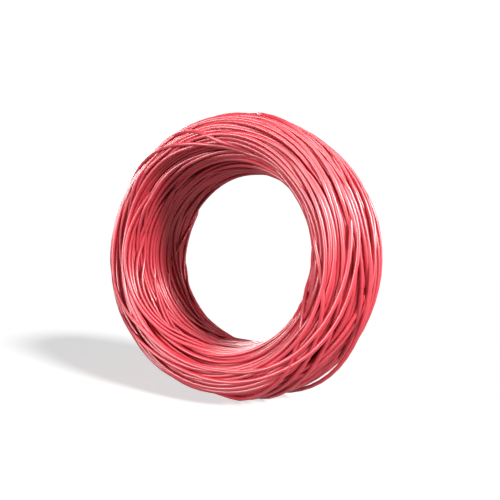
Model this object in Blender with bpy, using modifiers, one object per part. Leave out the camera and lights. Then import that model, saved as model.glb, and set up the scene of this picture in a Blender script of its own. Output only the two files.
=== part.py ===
"""Coil of stranded, PVC-jacketed hook-up wire, wound without a spool and standing on its edge.

The coil's axis runs along Y, its front face looks towards -Y, and it rests on the floor at z = 0.
The wound turns are one turned ring with the true outer shape of the bundle. One outer turn that
stands off the bundle and the wire's two free ends are tubes that lie on the ring, and each end
shows the copper strands in its jacket. Units are metres, +Z is up.
"""

import math

import bmesh
import bpy
from mathutils import Matrix, Vector

# Wire
WIRE_DIAMETER = 0.0018
STRAND_PITCH = 0.00032
STRAND_DIAMETER = 0.0003
OUTER_STRANDS = 6
CONDUCTOR_BORE = 0.0010

# Coil: a ring whose section is two half ellipses that meet at the widest radius
COIL_OUTER_RADIUS = 0.0715
COIL_INNER_RADIUS = 0.0444
COIL_WIDEST_RADIUS = 0.0517
COIL_WIDTH = 0.0590
REST_DEPTH = 0.0017

# Cut ends
BORE_DEPTH = 0.0053
STRAND_PROUD = 0.0006
STRAND_SEAT = 0.0003

GAP = 0.0003
COIL_STEPS = 64
SECTION_POINTS = 28
TUBE_STEP = 2.5 * WIRE_DIAMETER

HALF_WIDTH = COIL_WIDTH / 2
OUTER_DEPTH = COIL_OUTER_RADIUS - COIL_WIDEST_RADIUS
INNER_DEPTH = COIL_WIDEST_RADIUS - COIL_INNER_RADIUS
COIL_HEIGHT = COIL_OUTER_RADIUS - REST_DEPTH

# Routes on the ring's skin: (angle round the coil from +X towards +Z, angle round the section from
# its middle towards +Y, height of the wire's underside over the skin), in degrees and metres.
LOOSE_TURN_ROUTE = (
    (-27, -22, GAP),
    (-33, -19, 0.0005),
    (-40, -14, 0.0009),
    (-48, -6, 0.0010),
    (-56, 4, 0.0009),
    (-64, 13, 0.0005),
    (-70, 19, GAP),
)
OUTER_END_ROUTE = (
    (104, 26, GAP),
    (114, 29, GAP),
    (125, 33, 0.0004),
    (137, 37, 0.0005),
    (148, 40, 0.0005),
    (158, 42, 0.0004),
    (167, 43, 0.0004),
)
INNER_END_ROUTE = (
    (34, 14, GAP),
    (22, 12, GAP),
    (9, 10, 0.0004),
    (-6, 10, 0.0005),
    (-21, 11, 0.0005),
    (-38, 13, 0.0004),
)


def clear_scene():
    for found in list(bpy.data.objects):
        bpy.data.objects.remove(found, do_unlink=True)


def new_collection(name):
    made = bpy.data.collections.new(name)
    bpy.context.scene.collection.children.link(made)
    return made


def new_material(name, colour, roughness, metallic):
    material = bpy.data.materials.new(name)
    material.use_nodes = True
    shader = material.node_tree.nodes["Principled BSDF"]
    shader.inputs["Base Color"].default_value = (*colour, 1.0)
    shader.inputs["Roughness"].default_value = roughness
    shader.inputs["Metallic"].default_value = metallic
    return material


def new_object(name, data, collection, material=None):
    made = bpy.data.objects.new(name, data)
    collection.objects.link(made)
    if material is not None:
        data.materials.append(material)
    return made


def shade_smooth(mesh):
    mesh.shade_smooth()
    mesh.set_sharp_from_angle(angle=math.radians(40))


def section_point(turn, depth):
    """Radius and Y of the section's half ellipse at this angle from its middle, in radians."""
    return COIL_WIDEST_RADIUS + depth * math.cos(turn), HALF_WIDTH * math.sin(turn)


def coil_section():
    """The ring's section as (radius, height along the axis), down its outer side and up its inner."""
    half = SECTION_POINTS // 2
    outer = [section_point(math.pi / 2 - math.pi * i / half, OUTER_DEPTH) for i in range(half)]
    inner = [section_point(-math.pi / 2 + math.pi * i / half, -INNER_DEPTH) for i in range(half)]
    return outer + inner


def build_floor_cutter(cutters):
    """A block under the floor plane, which gives the coil's lowest turns their flat rest."""
    bpy.ops.mesh.primitive_cube_add(size=1)
    cutter = bpy.context.object
    cutter.name = "floor_cutter"
    cutter.scale = (COIL_OUTER_RADIUS, 2 * COIL_WIDTH, COIL_WIDTH)
    cutter.location = (0, 0, -COIL_WIDTH / 2)
    for home in list(cutter.users_collection):
        home.objects.unlink(cutter)
    cutters.objects.link(cutter)
    cutter.hide_render = True
    cutter.display_type = "WIRE"
    return cutter


def build_coil(parts, cutters, jacket):
    """The bundle of wound turns: the section turned about the coil's axis, flat where it rests."""
    mesh = bpy.data.meshes.new("wire_coil")
    ring = [Vector((radius, 0, height)) for radius, height in coil_section()]
    edges = [(i, (i + 1) % len(ring)) for i in range(len(ring))]
    mesh.from_pydata(ring, edges, [])
    coil = new_object("wire_coil", mesh, parts, jacket)
    coil.location = (0, 0, COIL_HEIGHT)
    coil.rotation_euler = (math.pi / 2, 0, 0)
    turned = coil.modifiers.new("Turned section", "SCREW")
    turned.axis = "Z"
    turned.angle = 2 * math.pi
    turned.steps = COIL_STEPS
    turned.render_steps = COIL_STEPS
    turned.use_merge_vertices = True
    turned.merge_threshold = 0.00001
    turned.use_smooth_shade = True
    rest = coil.modifiers.new("Rest on the floor", "BOOLEAN")
    rest.operation = "DIFFERENCE"
    rest.solver = "EXACT"
    rest.object = build_floor_cutter(cutters)
    return coil


def on_skin(turn_deg, section_deg, lift, depth):
    """Wire centre over the coil's skin: the section's point, moved out along its normal."""
    section = math.radians(section_deg)
    radius, across = section_point(section, depth)
    normal = Vector((math.cos(section) / depth, math.sin(section) / HALF_WIDTH)).normalized()
    reach = lift + WIRE_DIAMETER / 2
    radius += reach * normal.x
    across += reach * normal.y
    turn = math.radians(turn_deg)
    return Vector((radius * math.cos(turn), across, COIL_HEIGHT + radius * math.sin(turn)))


def through(points, t):
    """Catmull-Rom curve through the points, at t from 0 to their count less 1."""
    i = min(int(t), len(points) - 2)
    s = t - i
    before = points[max(i - 1, 0)]
    start = points[i]
    end = points[i + 1]
    after = points[min(i + 2, len(points) - 1)]
    return 0.5 * (
        2 * start
        + (end - before) * s
        + (2 * before - 5 * start + 4 * end - after) * s**2
        + (3 * start - before - 3 * end + after) * s**3
    )


def route_line(route, depth):
    """Points a few diameters apart along the smooth curve through a route on the skin."""
    keys = [on_skin(*key, depth) for key in route]
    length = sum((b - a).length for a, b in zip(keys, keys[1:]))
    count = max(4, round(length / TUBE_STEP))
    return [through(keys, (len(keys) - 1) * i / count) for i in range(count + 1)]


def tube(name, line, collection, material):
    """A wire along a line of points, closed at both ends."""
    curve = bpy.data.curves.new(name, "CURVE")
    curve.dimensions = "3D"
    curve.bevel_depth = WIRE_DIAMETER / 2
    curve.bevel_resolution = 2
    curve.use_fill_caps = True
    spline = curve.splines.new("POLY")
    spline.points.add(len(line) - 1)
    for point, place in zip(spline.points, line):
        point.co = (*place, 1)
    return new_object(name, curve, collection, material)


def as_mesh(curve_object, collection):
    """The tube as a mesh object of the same name and place, with its caps joined to its side."""
    name = curve_object.name
    bpy.context.view_layer.update()
    evaluated = curve_object.evaluated_get(bpy.context.evaluated_depsgraph_get())
    mesh = bpy.data.meshes.new_from_object(evaluated)
    work = bmesh.new()
    work.from_mesh(mesh)
    bmesh.ops.remove_doubles(work, verts=work.verts, dist=0.000001)
    bmesh.ops.recalc_face_normals(work, faces=work.faces)
    work.to_mesh(mesh)
    work.free()
    matrix = curve_object.matrix_world.copy()
    bpy.data.objects.remove(curve_object, do_unlink=True)
    made = bpy.data.objects.new(name, mesh)
    collection.objects.link(made)
    made.matrix_world = matrix
    return made


def cylinder_mesh(name, diameter, low, high, segments):
    """A closed cylinder on the local Z axis, from low to high."""
    mesh = bpy.data.meshes.new(name)
    work = bmesh.new()
    bmesh.ops.create_cone(
        work,
        cap_ends=True,
        segments=segments,
        radius1=diameter / 2,
        radius2=diameter / 2,
        depth=high - low,
        matrix=Matrix.Translation((0, 0, (low + high) / 2)),
    )
    work.to_mesh(mesh)
    work.free()
    return mesh


def build_end(name, route, depth, parts, cutters, jacket, copper):
    """A free end of the wire: its jacket, bored at the cut, and the copper strands in the bore.

    The local Z axis of the end's empty points out of the cut face.
    """
    line = route_line(route, depth)
    end = as_mesh(tube(f"{name}_jacket", line, parts, jacket), parts)
    axis = bpy.data.objects.new(f"{name}_axis", None)
    axis.location = line[-1]
    axis.rotation_euler = (line[-1] - line[-2]).to_track_quat("Z", "Y").to_euler()
    parts.objects.link(axis)
    bore = cylinder_mesh(f"{name}_bore", CONDUCTOR_BORE, -BORE_DEPTH, BORE_DEPTH, 24)
    cutter = new_object(f"{name}_bore", bore, cutters)
    cutter.parent = axis
    cutter.hide_render = True
    cutter.display_type = "WIRE"
    cut = end.modifiers.new("Conductor bore", "BOOLEAN")
    cut.operation = "DIFFERENCE"
    cut.solver = "EXACT"
    cut.object = cutter
    shade_smooth(end.data)
    strand = cylinder_mesh(
        f"{name}_strand", STRAND_DIAMETER, STRAND_SEAT - BORE_DEPTH, STRAND_PROUD, 10
    )
    shade_smooth(strand)
    strand.materials.append(copper)
    centre = [Vector((0, 0, 0))]
    around = [
        Vector((STRAND_PITCH, 0, 0)) @ Matrix.Rotation(math.tau * i / OUTER_STRANDS, 3, "Z")
        for i in range(OUTER_STRANDS)
    ]
    for number, place in enumerate(centre + around, start=1):
        copy = new_object(f"{name}_strand_{number}", strand, parts)
        copy.parent = axis
        copy.location = place


def main():
    clear_scene()
    parts = new_collection("wire_coil_assembly")
    cutters = new_collection("cutters")
    cutters.hide_render = True
    jacket = new_material("Red PVC jacket", (0.60, 0.045, 0.06), 0.35, 0.0)
    copper = new_material("Bare copper strand", (0.90, 0.45, 0.28), 0.3, 1.0)
    build_coil(parts, cutters, jacket)
    tube("loose_turn", route_line(LOOSE_TURN_ROUTE, OUTER_DEPTH), parts, jacket)
    build_end("outer_end", OUTER_END_ROUTE, OUTER_DEPTH, parts, cutters, jacket, copper)
    build_end("inner_end", INNER_END_ROUTE, -INNER_DEPTH, parts, cutters, jacket, copper)


main()
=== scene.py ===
import math

import bpy
import numpy as np
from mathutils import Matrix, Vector


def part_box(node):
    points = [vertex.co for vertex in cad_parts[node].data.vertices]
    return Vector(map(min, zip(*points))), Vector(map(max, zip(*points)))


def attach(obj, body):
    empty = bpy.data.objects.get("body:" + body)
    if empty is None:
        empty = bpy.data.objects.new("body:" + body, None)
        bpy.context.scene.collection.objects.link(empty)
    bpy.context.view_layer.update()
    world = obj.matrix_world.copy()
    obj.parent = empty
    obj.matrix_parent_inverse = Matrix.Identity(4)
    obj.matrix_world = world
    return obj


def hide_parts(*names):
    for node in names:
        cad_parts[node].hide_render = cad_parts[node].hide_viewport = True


bl_info = {
    "name": "Wire Coil",
    "version": (1, 0, 0),
    "blender": (4, 5, 0),
    "location": "View3D > Sidebar > Wire Coil",
    "description": "A coil of red insulated wire, wound turn by turn as one continuous length",
    "category": "Add Mesh",
}

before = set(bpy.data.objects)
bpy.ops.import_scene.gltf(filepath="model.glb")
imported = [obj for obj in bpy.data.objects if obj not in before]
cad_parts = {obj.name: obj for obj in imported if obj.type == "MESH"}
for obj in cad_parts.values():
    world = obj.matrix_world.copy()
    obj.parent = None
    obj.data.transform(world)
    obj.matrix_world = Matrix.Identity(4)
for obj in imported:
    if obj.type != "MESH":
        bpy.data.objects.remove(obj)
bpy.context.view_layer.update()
BODY = "root"

MM = 0.001
COIL_LOW, COIL_HIGH = (Vector(corner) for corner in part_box("wire_coil"))
COIL_OUTER_RADIUS = (COIL_HIGH.x - COIL_LOW.x) / 2
COIL_CENTRE_HEIGHT = COIL_HIGH.z - COIL_OUTER_RADIUS
COIL_HALF_WIDTH = (COIL_HIGH.y - COIL_LOW.y) / 2
COIL_CENTRE = Vector((0, 0, COIL_CENTRE_HEIGHT))
STRAND_COUNT = 7
STRAND_PROUD = 0.6 * MM
BORE_DEPTH = 5.3 * MM
OUTER_HALF_NODES = ("wire_coil", "loose_turn", "outer_end_jacket")
FLOOR_HALF = 4.0

# Routes of the wire over the coil's skin, with the angles that the CAD part has: angle round the
# coil from +X towards +Z, angle round the section from its middle towards +Y, and height over the
# skin in mm. The loose turn stands up to 0.5 mm further off than in the CAD part.
LOOSE_TURN_ROUTE = (
    (-70, 19, 0.3),
    (-64, 13, 0.9),
    (-56, 4, 1.4),
    (-48, -6, 1.5),
    (-40, -14, 1.2),
    (-33, -19, 0.6),
    (-27, -22, 0.3),
)
OUTER_END_ROUTE = (
    (104, 26, 0.3),
    (114, 29, 0.3),
    (125, 33, 0.4),
    (137, 37, 0.5),
    (148, 40, 0.5),
    (158, 42, 0.4),
    (167, 43, 0.4),
)
INNER_END_ROUTE = (
    (-38, 13, 0.4),
    (-21, 11, 0.5),
    (-6, 10, 0.5),
    (9, 10, 0.4),
    (22, 12, 0.3),
    (34, 14, 0.3),
)
# Degrees over which the wire eases from its own lay onto a route.
ROUTE_BLEND = 40
OUTER_END_BLEND = 35

# Waves of a turn's stray: swings in each turn, turns that stay alike, and share of the wander.
WAVES_OUT = ((1, 7, 0.9), (2, 5, 0.5), (3, 4, 0.15))
WAVES_ACROSS = ((1, 7, 1.0), (2, 5, 0.7), (3, 4, 0.2))

# How far a round of settling moves the riding turns in and the others out, and the waves in the skin.
RIDERS_IN = 0.03 * MM
OTHERS_OUT = 0.012 * MM
SKIN_WAVE = 0.35 * MM

# Patches of sky that the lights fill: width, azimuth from the front towards +X, and elevation, in
# degrees. Only the key light reaches the floor.
KEY_PATCH = (11, 71, 29)
OFF_FLOOR_PATCHES = {
    "top": (46, 60, 65),
    "front": (30, -22, 5),
    "side": (24, 92, 16),
    "back": (46, 236, 26),
}


class WireSettings(bpy.types.PropertyGroup):
    """Sizes and colours of the wire itself."""

    diameter: bpy.props.FloatProperty(
        name="Diameter", description="Over the jacket", default=1.8 * MM, unit="LENGTH"
    )
    bore: bpy.props.FloatProperty(
        name="Conductor bore", description="Hole left for the copper", default=1.0 * MM, unit="LENGTH"
    )
    length: bpy.props.FloatProperty(
        name="Length", description="Whole length of wire on the coil", default=100.0, unit="LENGTH"
    )
    sides: bpy.props.IntProperty(name="Sides", description="Sides of the wire's mesh tube", default=8)
    jacket_colour: bpy.props.StringProperty(
        name="Jacket colour", description="sRGB hex of the PVC, where it is lightest", default="#D63A49"
    )
    copper_colour: bpy.props.StringProperty(
        name="Copper colour", description="sRGB hex of the bare strands", default="#D98C63"
    )


class CoilSettings(bpy.types.PropertyGroup):
    """Shape of the bundle and how loosely it is wound."""

    inner_radius: bpy.props.FloatProperty(
        name="Hole radius", description="Radius of the hole", default=44.4 * MM, unit="LENGTH"
    )
    widest_radius: bpy.props.FloatProperty(
        name="Widest radius", description="Where the bundle is widest", default=51.7 * MM, unit="LENGTH"
    )
    turns: bpy.props.IntProperty(name="Turns", description="Whole turns of wire", default=276)
    slices: bpy.props.IntProperty(name="Slices", description="Points of the wire in each turn", default=72)
    wander_across: bpy.props.FloatProperty(
        name="Wander across", description="Stray of a turn along the axis", default=3.2 * MM, unit="LENGTH"
    )
    wander_out: bpy.props.FloatProperty(
        name="Wander out", description="Stray of a turn outwards", default=0.9 * MM, unit="LENGTH"
    )
    riders: bpy.props.IntProperty(name="Riding turns", description="Last turns, laid on top", default=16)
    rider_middle: bpy.props.FloatProperty(
        name="Riders' middle",
        description="How far round the section the middle of the riding turns goes to each side",
        default=math.radians(55),
        subtype="ANGLE",
    )
    rider_swing: bpy.props.FloatProperty(
        name="Riders' swing",
        description="Stray of a riding turn round the section",
        default=math.radians(32),
        subtype="ANGLE",
    )
    rounds: bpy.props.IntProperty(
        name="Settling rounds", description="Rounds that push the turns apart", default=150
    )
    seed: bpy.props.IntProperty(name="Seed", description="Seed of the winding's wander", default=57)


class StageSettings(bpy.types.PropertyGroup):
    """Camera and lights."""

    camera_azimuth: bpy.props.FloatProperty(
        name="Camera azimuth",
        description="Round from the front",
        default=math.radians(28.1),
        subtype="ANGLE",
    )
    camera_elevation: bpy.props.FloatProperty(
        name="Camera elevation",
        description="Over the coil's centre",
        default=math.radians(-2.2),
        subtype="ANGLE",
    )
    camera_distance: bpy.props.FloatProperty(
        name="Camera distance", description="From the coil's centre", default=205.6 * MM, unit="LENGTH"
    )
    lens: bpy.props.FloatProperty(
        name="Lens", description="Focal length in mm on a 36 mm sensor", default=28.8
    )
    shift_across: bpy.props.FloatProperty(
        name="Shift across", description="Camera shift, in frame widths", default=0.0292
    )
    shift_up: bpy.props.FloatProperty(
        name="Shift up", description="Camera shift, in frame widths", default=0.0124
    )
    key_strength: bpy.props.FloatProperty(
        name="Key light", description="In watts per square metre", default=3.7
    )
    top_strength: bpy.props.FloatProperty(
        name="Top light", description="In watts per square metre", default=2.2
    )
    front_strength: bpy.props.FloatProperty(
        name="Front light", description="In watts per square metre", default=3.2
    )
    side_strength: bpy.props.FloatProperty(
        name="Side light", description="In watts per square metre", default=2.6
    )
    back_strength: bpy.props.FloatProperty(
        name="Back light", description="In watts per square metre", default=3.2
    )
    surround_strength: bpy.props.FloatProperty(
        name="Surround", description="Light that the white surround throws on the coil", default=0.03
    )


# ---------------------------------------------------------------------------------------------
# The bundle's section, in (radius, y) at any angle round the coil


def skin_depth(outwards, coil):
    """Radial half axis of the section: outer half ellipse where outwards, else the inner one."""
    outer = COIL_OUTER_RADIUS - coil.widest_radius
    inner = coil.widest_radius - coil.inner_radius
    return np.where(outwards, outer, inner)


def fill_share(section, coil, inset):
    """rho = sqrt(((radius - widest) / depth)^2 + (y / half width)^2), 1 on the skin less inset."""
    out = section[:, 0] - coil.widest_radius
    depth = skin_depth(out > 0, coil) - inset
    return np.sqrt((out / depth) ** 2 + (section[:, 1] / (COIL_HALF_WIDTH - inset)) ** 2)


def inside_skin(section, turn, coil, inset, radius):
    """Points drawn back onto the skin less inset where they pass it, and off the floor.

    A point with rho over 1 is scaled towards the section's middle by 1 / rho. Under the coil's
    centre a point's radius is at most (centre height - wire radius) / -sin(turn angle).
    """
    scale = 1 / np.maximum(fill_share(section, coil, inset), 1)
    out = (section[:, 0] - coil.widest_radius) * scale
    floor = (COIL_CENTRE_HEIGHT - radius) / np.maximum(-np.sin(turn), 0.5)
    return np.stack([np.minimum(coil.widest_radius + out, floor), section[:, 1] * scale], -1)


def skin_normal(section, coil):
    """Outward unit normal of the ellipse through each point of the section."""
    out = section[:, 0] - coil.widest_radius
    depth = skin_depth(out > 0, coil)
    normal = np.stack([out / depth**2, section[:, 1] / COIL_HALF_WIDTH**2], -1)
    return normal / (np.linalg.norm(normal, axis=1, keepdims=True) + 1e-9)


def on_skin(route, outwards, wire, coil):
    """A route's keys as (turn angle, radius, y): the section's point moved out along its normal."""
    keys = np.array(route, float)
    section = np.radians(keys[:, 1])
    lift = keys[:, 2] * MM + wire.diameter / 2
    depth = float(skin_depth(outwards, coil)) * (1 if outwards else -1)
    normal = np.stack([np.cos(section) / depth, np.sin(section) / COIL_HALF_WIDTH], -1)
    normal /= np.linalg.norm(normal, axis=1, keepdims=True)
    radius = coil.widest_radius + depth * np.cos(section) + lift * normal[:, 0]
    across = COIL_HALF_WIDTH * np.sin(section) + lift * normal[:, 1]
    return np.stack([np.radians(keys[:, 0]), radius, across], -1)


# ---------------------------------------------------------------------------------------------
# Winding


def drift(rng, count, per_turn, harmonic, turns_alike):
    """A slow wave along the wire: a cos(h t) + b sin(h t), with a and b drifting over some turns."""
    knots = rng.normal(size=(2, int(count / per_turn / turns_alike) + 4))
    at = np.arange(count) / (per_turn * turns_alike)
    first = at.astype(int)
    share = at - first
    share = share * share * (3 - 2 * share)
    mixed = knots[:, first] * (1 - share) + knots[:, first + 1] * share
    a, b = mixed / np.sqrt((1 - share) ** 2 + share**2)
    phase = 2 * np.pi * harmonic * np.arange(count) / per_turn
    return a * np.cos(phase) + b * np.sin(phase)


def smoothed(values, passes, weight):
    """Each point moved towards the middle of its two neighbours along the wire."""
    for _ in range(passes):
        bend = np.zeros_like(values)
        bend[1:-1] = values[2:] + values[:-2] - 2 * values[1:-1]
        values = values + weight * bend
    return values


def first_lay(turn, wire, coil):
    """The wire's section points as first laid, before the turns make room for each other.

    The turns fill the section from the hole outwards, the same area for each turn, and cross it
    from side to side. Slow waves of one to three swings a turn make them stray over each other.
    The last turns ride on the skin, and swing right across the outside once a turn.
    """
    rng = np.random.default_rng(coil.seed)
    count = len(turn)
    done = (turn - turn[0]) / (turn[-1] - turn[0])
    radii = np.linspace(coil.inner_radius + wire.diameter / 2, COIL_OUTER_RADIUS - wire.diameter / 2, 400)
    out = radii - coil.widest_radius
    width = COIL_HALF_WIDTH * np.sqrt(np.clip(1 - (out / skin_depth(out > 0, coil)) ** 2, 0, None))
    filled = np.concatenate([[0], np.cumsum(width[1:] + width[:-1])])
    radius = np.interp(done, filled / filled[-1], radii)
    reach = np.interp(radius, radii, width) - 0.4 * wire.diameter
    pitch = 1.24 * wire.diameter
    swing = np.cumsum(pitch / np.maximum(2 * reach, 2 * wire.diameter)) / coil.slices
    across = reach * (1 - 4 * np.abs((swing / 2) % 1 - 0.5))
    for harmonic, alike, size in WAVES_OUT:
        radius += coil.wander_out * size * drift(rng, count, coil.slices, harmonic, alike)
    for harmonic, alike, size in WAVES_ACROSS:
        across += coil.wander_across * size * drift(rng, count, coil.slices, harmonic, alike)
    riding = np.clip((turn - turn[-1]) / (2 * np.pi) + coil.riders, 0, 1)
    wide = drift(rng, count, coil.slices, 1, 3)
    narrow = drift(rng, count, coil.slices, 2, 2)
    stray = coil.rider_swing * (wide + 0.2 * narrow)
    section = coil.rider_middle * np.cos(np.cumsum(riding) / coil.slices * 0.9) + stray
    depth = skin_depth(np.cos(section) > 0, coil)
    radius += riding * (coil.widest_radius + depth * np.cos(section) - radius)
    across += riding * (COIL_HALF_WIDTH * np.sin(section) - across)
    return np.stack([radius, across], -1)


def run_out(route, blend):
    """A route lengthened at both ends by the blend angle, on much the same slant and onto the skin."""
    (first, start, _), (second, near, _) = route[:2]
    (before, far, _), (last, end, _) = route[-2:]
    lead_in = start - 0.6 * blend * (near - start) / (second - first)
    lead_out = end + 0.6 * blend * (end - far) / (last - before)
    return (first - blend, lead_in, 0), *route, (last + blend, lead_out, 0)


def nearest_lap(section, turn, keys, laps):
    """The lap whose own lay passes nearest to both ends of a route."""

    def miss(lap):
        ends = np.searchsorted(turn, keys[[0, -1], 0] + 2 * np.pi * lap).clip(0, len(turn) - 1)
        return np.linalg.norm(section[ends] - keys[[0, -1], 1:], axis=1).max()

    return min(laps, key=miss)


def lay_over(section, turn, keys, lap, blend, coil):
    """Brings a lap of the wire onto a route that was run out, and eases it in and out.

    Between the two, a point keeps the mix of their rho, so that the wire stays over the bundle and
    doesn't cut through it. Returns the new points and how firmly each is held, from 0 to 1.
    """
    at = keys[:, 0] + 2 * np.pi * lap
    target = np.stack([np.interp(turn, at, keys[:, 1]), np.interp(turn, at, keys[:, 2])], -1)
    target = smoothed(target, 8, 0.4)
    ease = np.clip(np.minimum(turn - at[0], at[-1] - turn) / blend, 0, 1)
    ease = (ease * ease * (3 - 2 * ease))[:, None]
    mixed = section * (1 - ease) + target * ease
    rho, start, end = (fill_share(points, coil, 0)[:, None] for points in (mixed, section, target))
    middle = np.array([coil.widest_radius, 0])
    stretch = np.minimum((start * (1 - ease) + end * ease) / rho, 3)
    return middle + (mixed - middle) * stretch, ease**3


def neighbours(place, per_turn, reach):
    """Pairs of points, by index along the wire, nearer than reach in the same slice of the coil."""
    turns = -(-len(place) // per_turn)
    spare = np.full((turns * per_turn - len(place), 2), np.nan)
    slices = np.concatenate([place, spare]).reshape(turns, per_turn, 2).swapaxes(0, 1).astype(np.float32)
    gap = slices[:, :, None] - slices[:, None]
    at, one, two = np.nonzero((gap**2).sum(-1) < reach**2)
    once = one < two
    return one[once] * per_turn + at[once], two[once] * per_turn + at[once]


def make_room(place, pairs, normal, rank, wire):
    """How far each point moves to leave the points that share its place in its slice.

    Two wires nearer than a diameter move apart by half the shortfall each. Where they lie nearly
    on each other they move along the skin's normal, the one with the higher rank going over.
    """
    one, two = pairs
    gap = place[one] - place[two]
    apart = np.linalg.norm(gap, axis=1) + 1e-9
    close = apart < wire.diameter
    one, two, gap, apart = one[close], two[close], gap[close], apart[close][:, None]
    short = wire.diameter - apart
    over = np.where(rank[one] >= rank[two], 1, -1)
    stacked = (normal[one] + normal[two]) / 2 * over
    share = np.clip(1.3 * short / wire.diameter - 0.15, 0, 1)
    push = 0.5 * short * (gap / apart * (1 - share) + stacked * share)
    shove = np.zeros_like(place)
    for k in (0, 1):
        shove[:, k] += np.bincount(one, push[:, k], len(place))
        shove[:, k] -= np.bincount(two, push[:, k], len(place))
    size = np.linalg.norm(shove, axis=1, keepdims=True)
    return shove * np.minimum(1, 0.35 * wire.diameter / (size + 1e-12))


def settle(start, turn, held, wire, coil):
    """Pushes the turns apart and outwards against the skin, smoothing each push along the wire.

    The riding turns are drawn inwards instead, onto the turns below. Turns that cross steeply may
    still press into each other when the rounds are over.
    """
    rng = np.random.default_rng(coil.seed + 100)
    radius = wire.diameter / 2
    proud = SKIN_WAVE * drift(rng, len(start), coil.slices, 2, 1.5)
    inset = radius - proud - held[:, 0] * 2 * wire.diameter
    riding = (turn > turn[-1] - 2 * np.pi * coil.riders)[:, None]
    place = start
    for step in range(coil.rounds):
        left = 1 - step / coil.rounds
        normal = skin_normal(place, coil)
        if step % 20 == 0:
            rank = smoothed(fill_share(place, coil, radius)[:, None], 30, 0.4)
        if step % 8 == 0:
            pairs = neighbours(place, coil.slices, 1.8 * wire.diameter)
        push = 0.8 * make_room(place, pairs, normal, rank, wire)
        push += np.where(riding, -RIDERS_IN, OTHERS_OUT * left) * normal
        move = place - start + push * (1 - held)
        move = smoothed(move, 2, 0.25 if left > 0.15 else 0.12)
        place = inside_skin(start + move, turn, coil, inset, radius)
        place = np.where(held > 0.99, start, place)
    return place


def end_cut(end):
    """(cut point, unit direction out of the cut) of an end, from its middle strand's cylinder."""
    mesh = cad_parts[f"{end}_strand_1"].data
    points = np.empty(len(mesh.vertices) * 3, np.float32)
    mesh.vertices.foreach_get("co", points)
    points = points.reshape(-1, 3).astype(float)
    middle = (points.min(0) + points.max(0)) / 2
    axis = np.linalg.svd(points - points.mean(0))[2][0]
    low, high = (np.array(corner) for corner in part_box(f"{end}_jacket"))
    if (middle - (low + high) / 2) @ axis < 0:
        axis = -axis
    return middle + axis * (((points - middle) @ axis).max() - STRAND_PROUD), axis


def meet_cut(line, cut, axis):
    """The line's last two points replaced by a bend into a straight run of the bore's depth."""
    straight = [cut - axis * BORE_DEPTH * 1.05, cut - axis * BORE_DEPTH * 0.5, cut]
    before = line[-3]
    ahead = line[-3] - line[-4]
    ahead /= np.linalg.norm(ahead)
    span = np.linalg.norm(straight[0] - before)
    middle = (before + straight[0]) / 2 + span / 8 * (ahead - axis)
    return np.concatenate([line[:-2], [middle], straight])


def wound_line(wire, coil):
    """The wire's centreline from its inner cut to its outer cut, as world points in metres.

    x = r cos a, y = y, z = centre height + r sin a, with (r, y) the settled section points.
    """
    first = math.radians(INNER_END_ROUTE[0][0])
    last = math.radians(OUTER_END_ROUTE[-1][0]) + 2 * np.pi * coil.turns
    turn = np.linspace(first, last, round((last - first) / (2 * np.pi) * coil.slices) + 1)
    section = first_lay(turn, wire, coil)
    section = inside_skin(section, turn, coil, wire.diameter / 2, wire.diameter / 2)
    held = np.zeros((len(turn), 1))
    last_laps = range(coil.turns - coil.riders + 1, coil.turns - 1)
    for route, outwards, laps, blend in (
        (INNER_END_ROUTE, False, [0], ROUTE_BLEND),
        (LOOSE_TURN_ROUTE, True, last_laps, ROUTE_BLEND),
        (OUTER_END_ROUTE, True, [coil.turns], OUTER_END_BLEND),
    ):
        keys = on_skin(run_out(route, blend), outwards, wire, coil)
        lap = nearest_lap(section, turn, keys, laps)
        section, firm = lay_over(section, turn, keys, lap, math.radians(blend), coil)
        held = np.maximum(held, firm)
    section = settle(section, turn, held, wire, coil)
    radius, across = section.T
    line = np.stack([radius * np.cos(turn), across, COIL_CENTRE_HEIGHT + radius * np.sin(turn)], -1)
    line = meet_cut(line, *end_cut("outer_end"))
    return meet_cut(line[::-1], *end_cut("inner_end"))[::-1]


# ---------------------------------------------------------------------------------------------
# Meshes


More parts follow.
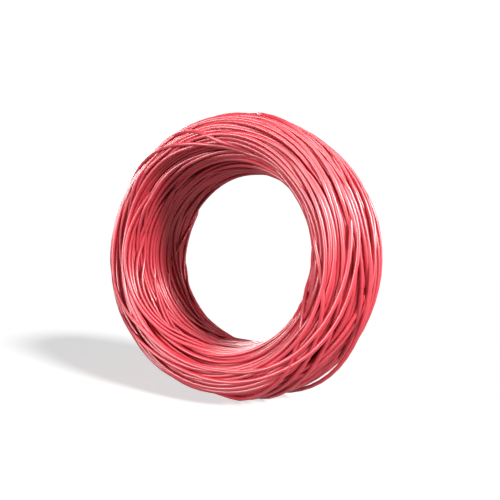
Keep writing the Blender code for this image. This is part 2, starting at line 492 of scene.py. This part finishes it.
def tube_mesh(name, centres, ahead, radii, sides):
    """A closed tube of rings: point = centre + radius (cos v e1 + sin v e2).

    e1 is square to the way ahead and nearest to the coil's radius, and e2 is square to both. Each
    end closes on a pole at its ring's centre. The UV map along_wire holds (v as a length around
    the wire, length along it), in metres.
    """
    out = centres - np.array(COIL_CENTRE)
    out[:, 1] = 0
    e1 = out - (out * ahead).sum(1, keepdims=True) * ahead
    e1 /= np.linalg.norm(e1, axis=1, keepdims=True)
    e2 = np.cross(ahead, e1)
    v = 2 * np.pi * np.arange(sides) / sides
    spoke = np.cos(v)[None, :, None] * e1[:, None] + np.sin(v)[None, :, None] * e2[:, None]
    rings = centres[:, None] + radii[:, None, None] * spoke
    points = np.concatenate([rings.reshape(-1, 3), centres[:1], centres[-1:]])
    count = len(centres)
    grid = np.meshgrid(np.arange(count - 1), np.arange(sides), indexing="ij")
    ring, side = (each.ravel() for each in grid)
    after = (side + 1) % sides
    low, high = ring * sides, (ring + 1) * sides
    quads = np.stack([low + side, low + after, high + after, high + side], -1)
    rim, turned = np.arange(sides), (np.arange(sides) + 1) % sides
    top = (count - 1) * sides
    near = np.stack([np.full(sides, count * sides), turned, rim], -1)
    far = np.stack([np.full(sides, count * sides + 1), top + rim, top + turned], -1)
    corners = np.concatenate([quads.ravel(), near.ravel(), far.ravel()])
    starts = np.concatenate([4 * np.arange(len(quads)), 4 * len(quads) + 3 * np.arange(2 * sides)])
    mesh = bpy.data.meshes.new(name)
    mesh.vertices.add(len(points))
    mesh.vertices.foreach_set("co", points.ravel())
    mesh.loops.add(len(corners))
    mesh.loops.foreach_set("vertex_index", corners)
    mesh.polygons.add(len(starts))
    mesh.polygons.foreach_set("loop_start", starts)
    mesh.update(calc_edges=True)
    length = np.concatenate([[0], np.cumsum(np.linalg.norm(np.diff(centres, axis=0), axis=1))])
    around = 2 * np.pi * radii.max() / sides
    quad_uv = np.stack(
        [
            np.stack([side, side + 1, side + 1, side], -1) * around,
            np.stack([length[ring], length[ring], length[ring + 1], length[ring + 1]], -1),
        ],
        -1,
    )
    cap_u = np.stack([rim + 0.5, rim + 1, rim], -1) * around
    caps = [np.stack([cap_u, np.full_like(cap_u, end)], -1) for end in (length[0], length[-1])]
    uv = np.concatenate([part.reshape(-1, 2) for part in (quad_uv, *caps)])
    mesh.uv_layers.new(name="along_wire").data.foreach_set("uv", uv.ravel())
    mesh.shade_smooth()
    mesh.set_sharp_from_angle(angle=math.radians(55))
    return mesh


def bored_tube(name, line, ahead, bored_start, bored_end, wire):
    """The jacket along the line, with a bore for the copper sunk into each cut face asked for."""
    radii = np.full(len(line), wire.diameter / 2)
    if bored_start:
        line = np.concatenate([[line[0] + ahead[0] * BORE_DEPTH, line[0]], line])
        ahead = np.concatenate([ahead[[0, 0]], ahead])
        radii = np.concatenate([[wire.bore / 2] * 2, radii])
    if bored_end:
        line = np.concatenate([line, [line[-1], line[-1] - ahead[-1] * BORE_DEPTH]])
        ahead = np.concatenate([ahead, ahead[[-1, -1]]])
        radii = np.concatenate([radii, [wire.bore / 2] * 2])
    return tube_mesh(name, line, ahead, radii, wire.sides)


# ---------------------------------------------------------------------------------------------
# Materials


def linear(hex_colour):
    """sRGB hex to linear RGBA."""
    channels = np.array([int(hex_colour[k : k + 2], 16) / 255 for k in (1, 3, 5)])
    bent = np.where(channels <= 0.04045, channels / 12.92, ((channels + 0.055) / 1.055) ** 2.4)
    return (*bent.tolist(), 1.0)


def add_node(tree, kind, settings=None, links=None):
    """Adds a node, sets its attributes and input sockets, and links its inputs to other outputs."""
    node = tree.nodes.new(kind)
    for key, value in (settings or {}).items():
        if key in node.inputs:
            node.inputs[key].default_value = value
        else:
            setattr(node, key, value)
    for key, output in (links or {}).items():
        tree.links.new(output, node.inputs[key])
    return node


def new_material(name, colour):
    """An empty node material with an output, and its plain colour for the solid view."""
    material = bpy.data.materials.new(name)
    material.use_nodes = True
    material.node_tree.nodes.clear()
    material.diffuse_color = linear(colour)
    return material, material.node_tree


def extruded_pvc(wire):
    """Soft PVC drawn over the conductor: a broad soft gloss with faint streaks along the wire."""
    material, tree = new_material("extruded_pvc", wire.jacket_colour)
    uv = add_node(tree, "ShaderNodeUVMap", {"uv_map": "along_wire"})
    # Pigment settles a little unevenly over some 25 mm of wire.
    stretch = add_node(tree, "ShaderNodeMapping", {"Scale": (150, 40, 1)}, {"Vector": uv.outputs["UV"]})
    patch = add_node(
        tree, "ShaderNodeTexNoise", {"Scale": 1.0, "Detail": 2.0}, {"Vector": stretch.outputs[0]}
    )
    tint = add_node(tree, "ShaderNodeValToRGB", None, {"Fac": patch.outputs["Fac"]})
    tint.color_ramp.elements[0].position = 0.3
    tint.color_ramp.elements[0].color = linear("#C32E3D")
    tint.color_ramp.elements[1].position = 0.7
    tint.color_ramp.elements[1].color = linear(wire.jacket_colour)
    # Die lines run along the wire, 0.4 mm apart round it.
    lines = add_node(tree, "ShaderNodeMapping", {"Scale": (2500, 60, 1)}, {"Vector": uv.outputs["UV"]})
    streak = add_node(
        tree, "ShaderNodeTexNoise", {"Scale": 1.0, "Detail": 1.0}, {"Vector": lines.outputs[0]}
    )
    gloss = add_node(
        tree, "ShaderNodeMapRange", {"To Min": 0.36, "To Max": 0.5}, {"Value": streak.outputs["Fac"]}
    )
    bump = add_node(
        tree, "ShaderNodeBump", {"Strength": 0.25, "Distance": 0.05 * MM}, {"Height": streak.outputs["Fac"]}
    )
    shader = add_node(
        tree,
        "ShaderNodeBsdfPrincipled",
        {"IOR": 1.5, "Specular IOR Level": 0.8, "Coat Weight": 1.0, "Coat Roughness": 0.24},
        {"Base Color": tint.outputs["Color"], "Roughness": gloss.outputs[0], "Normal": bump.outputs[0]},
    )
    add_node(tree, "ShaderNodeOutputMaterial", None, {"Surface": shader.outputs[0]})
    return material


def drawn_copper(wire):
    """Bare drawn copper: a warm metal with slight tarnish."""
    material, tree = new_material("drawn_copper", wire.copper_colour)
    place = add_node(tree, "ShaderNodeTexCoord")
    # Tarnish spots of about 0.5 mm.
    spots = add_node(
        tree, "ShaderNodeTexNoise", {"Scale": 2000.0, "Detail": 2.0}, {"Vector": place.outputs["Object"]}
    )
    tint = add_node(tree, "ShaderNodeValToRGB", None, {"Fac": spots.outputs["Fac"]})
    tint.color_ramp.elements[0].position = 0.35
    tint.color_ramp.elements[0].color = linear("#B8673F")
    tint.color_ramp.elements[1].position = 0.65
    tint.color_ramp.elements[1].color = linear(wire.copper_colour)
    gloss = add_node(
        tree, "ShaderNodeMapRange", {"To Min": 0.25, "To Max": 0.4}, {"Value": spots.outputs["Fac"]}
    )
    shader = add_node(
        tree,
        "ShaderNodeBsdfPrincipled",
        {"Metallic": 1.0},
        {"Base Color": tint.outputs["Color"], "Roughness": gloss.outputs[0]},
    )
    add_node(tree, "ShaderNodeOutputMaterial", None, {"Surface": shader.outputs[0]})
    return material


def white_paper():
    """The stage floor: matt paper, lifted to the camera so that it meets the white surround."""
    material, tree = new_material("white_paper", "#FFFFFF")
    paper = add_node(tree, "ShaderNodeBsdfDiffuse", {"Color": linear("#CDCDCD")})
    dull = add_node(tree, "ShaderNodeBsdfDiffuse", {"Color": linear("#C4C4C4")})
    lift = add_node(tree, "ShaderNodeEmission", {"Color": linear("#FFFFFF"), "Strength": 0.66})
    path = add_node(tree, "ShaderNodeLightPath")
    both = add_node(tree, "ShaderNodeAddShader", None, {0: paper.outputs[0], 1: lift.outputs[0]})
    seen = add_node(
        tree,
        "ShaderNodeMixShader",
        None,
        {0: path.outputs["Is Camera Ray"], 1: dull.outputs[0], 2: both.outputs[0]},
    )
    add_node(tree, "ShaderNodeOutputMaterial", None, {"Surface": seen.outputs[0]})
    return material


# ---------------------------------------------------------------------------------------------
# Operators


def add_piece(name, mesh, material):
    """Puts a mesh in the scene as an object with one material."""
    piece = bpy.data.objects.new(name, mesh)
    bpy.context.scene.collection.objects.link(piece)
    mesh.materials.append(material)
    return piece


class WIRECOIL_OT_wind_wire(bpy.types.Operator):
    """Winds the whole length of wire into the coil, as an inner and an outer half that join."""

    bl_idname = "wirecoil.wind_wire"
    bl_label = "Wind wire"

    def execute(self, context):
        wire, coil = context.scene.wire_coil_wire, context.scene.wire_coil_bundle
        line = wound_line(wire, coil)
        ahead = np.gradient(line, axis=0)
        ahead /= np.linalg.norm(ahead, axis=1, keepdims=True)
        length = np.cumsum(np.linalg.norm(np.diff(line, axis=0), axis=1))
        middle = int(np.searchsorted(length, length[-1] / 2)) + 1
        jacket = extruded_pvc(wire)
        halves = (
            ("inner_half_of_wire", slice(0, middle + 1), True, False, "object", ("inner_end_jacket",)),
            ("outer_half_of_wire", slice(middle, None), False, True, "bare", OUTER_HALF_NODES),
        )
        for name, part, bored_start, bored_end, far_end, nodes in halves:
            mesh = bored_tube(name, line[part], ahead[part], bored_start, bored_end, wire)
            piece = add_piece(name, mesh, jacket)
            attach(piece, BODY)
            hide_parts(*nodes)
        return {"FINISHED"}


class WIRECOIL_OT_finish_strands(bpy.types.Operator):
    """Gives the bare strands in both cut ends their copper."""

    bl_idname = "wirecoil.finish_strands"
    bl_label = "Finish copper strands"

    def execute(self, context):
        copper = drawn_copper(context.scene.wire_coil_wire)
        for end in ("outer_end", "inner_end"):
            for number in range(1, STRAND_COUNT + 1):
                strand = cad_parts[f"{end}_strand_{number}"]
                for slot in strand.material_slots:
                    slot.material = copper
                if not strand.material_slots:
                    strand.data.materials.append(copper)
        return {"FINISHED"}


def round_the_coil(azimuth, elevation, distance):
    """A point seen from the coil's centre: azimuth from the front towards +X, and elevation up."""
    level = math.cos(elevation)
    way = Vector((math.sin(azimuth) * level, -math.cos(azimuth) * level, math.sin(elevation)))
    return COIL_CENTRE + way * distance


def add_far_light(name, strength, width, azimuth, elevation):
    """A far, even studio light that fills a round patch of the sky, with its angles in degrees."""
    data = bpy.data.lights.new(name, "SUN")
    data.energy = strength
    data.angle = math.radians(width)
    light = bpy.data.objects.new(name, data)
    light.location = round_the_coil(math.radians(azimuth), math.radians(elevation), 1.0)
    light.rotation_euler = (COIL_CENTRE - light.location).to_track_quat("-Z", "Y").to_euler()
    bpy.context.scene.collection.objects.link(light)
    return light


def white_surround(strength):
    """A world that is white to the camera and lights the coil only a little."""
    world = bpy.data.worlds.new("white_surround")
    world.use_nodes = True
    tree = world.node_tree
    tree.nodes.clear()
    path = add_node(tree, "ShaderNodeLightPath")
    seen = add_node(tree, "ShaderNodeBackground", {"Color": linear("#FFFFFF"), "Strength": 1.05})
    cast = add_node(tree, "ShaderNodeBackground", {"Color": linear("#FFFFFF"), "Strength": strength})
    mix = add_node(
        tree,
        "ShaderNodeMixShader",
        None,
        {0: path.outputs["Is Camera Ray"], 1: cast.outputs[0], 2: seen.outputs[0]},
    )
    add_node(tree, "ShaderNodeOutputWorld", None, {"Surface": mix.outputs[0]})
    bpy.context.scene.world = world


class WIRECOIL_OT_set_stage(bpy.types.Operator):
    """Sets the floor, the lights and the camera."""

    bl_idname = "wirecoil.set_stage"
    bl_label = "Set stage"

    def execute(self, context):
        stage = context.scene.wire_coil_stage
        floor_mesh = bpy.data.meshes.new("floor")
        corners = [(FLOOR_HALF * x, FLOOR_HALF * y, 0) for x, y in ((-1, -1), (1, -1), (1, 1), (-1, 1))]
        floor_mesh.from_pydata(corners, [], [(0, 1, 2, 3)])
        floor = add_piece("floor", floor_mesh, white_paper())
        add_far_light("key_light", stage.key_strength, *KEY_PATCH)
        # The others leave the floor out, so that the coil throws one plain shadow.
        off_floor = bpy.data.collections.new("lit_by_key_only")
        off_floor.objects.link(floor)
        off_floor.collection_objects[0].light_linking.link_state = "EXCLUDE"
        for name, patch in OFF_FLOOR_PATCHES.items():
            light = add_far_light(f"{name}_light", getattr(stage, f"{name}_strength"), *patch)
            light.light_linking.receiver_collection = off_floor
        white_surround(stage.surround_strength)
        camera_data = bpy.data.cameras.new("camera")
        camera_data.sensor_width = 36
        camera_data.lens = stage.lens
        camera_data.shift_x = stage.shift_across
        camera_data.shift_y = stage.shift_up
        camera_data.clip_start = 0.01
        camera = bpy.data.objects.new("camera", camera_data)
        camera.location = round_the_coil(
            stage.camera_azimuth, stage.camera_elevation, stage.camera_distance
        )
        camera.rotation_euler = (COIL_CENTRE - camera.location).to_track_quat("-Z", "Y").to_euler()
        context.scene.collection.objects.link(camera)
        context.scene.camera = camera
        context.scene.view_settings.view_transform = "Standard"
        return {"FINISHED"}


class WIRECOIL_PT_panel(bpy.types.Panel):
    """Steps that make the coil, in the sidebar."""

    bl_label = "Wire Coil"
    bl_space_type = "VIEW_3D"
    bl_region_type = "UI"
    bl_category = "Wire Coil"

    def draw(self, context):
        scene = context.scene
        groups = (scene.wire_coil_wire, scene.wire_coil_bundle, scene.wire_coil_stage)
        steps = (WIRECOIL_OT_wind_wire, WIRECOIL_OT_finish_strands, WIRECOIL_OT_set_stage)
        for group in groups:
            box = self.layout.box()
            for name in type(group).__annotations__:
                box.prop(group, name)
        for step in steps:
            self.layout.operator(step.bl_idname)


CLASSES = (
    WireSettings,
    CoilSettings,
    StageSettings,
    WIRECOIL_OT_wind_wire,
    WIRECOIL_OT_finish_strands,
    WIRECOIL_OT_set_stage,
    WIRECOIL_PT_panel,
)


def register():
    for cls in CLASSES:
        bpy.utils.register_class(cls)
    bpy.types.Scene.wire_coil_wire = bpy.props.PointerProperty(type=WireSettings)
    bpy.types.Scene.wire_coil_bundle = bpy.props.PointerProperty(type=CoilSettings)
    bpy.types.Scene.wire_coil_stage = bpy.props.PointerProperty(type=StageSettings)


def unregister():
    del bpy.types.Scene.wire_coil_stage
    del bpy.types.Scene.wire_coil_bundle
    del bpy.types.Scene.wire_coil_wire
    for cls in reversed(CLASSES):
        bpy.utils.unregister_class(cls)


def main():
    register()
    bpy.ops.wirecoil.wind_wire()
    bpy.ops.wirecoil.finish_strands()
    bpy.ops.wirecoil.set_stage()


if __name__ == "__main__":
    main()
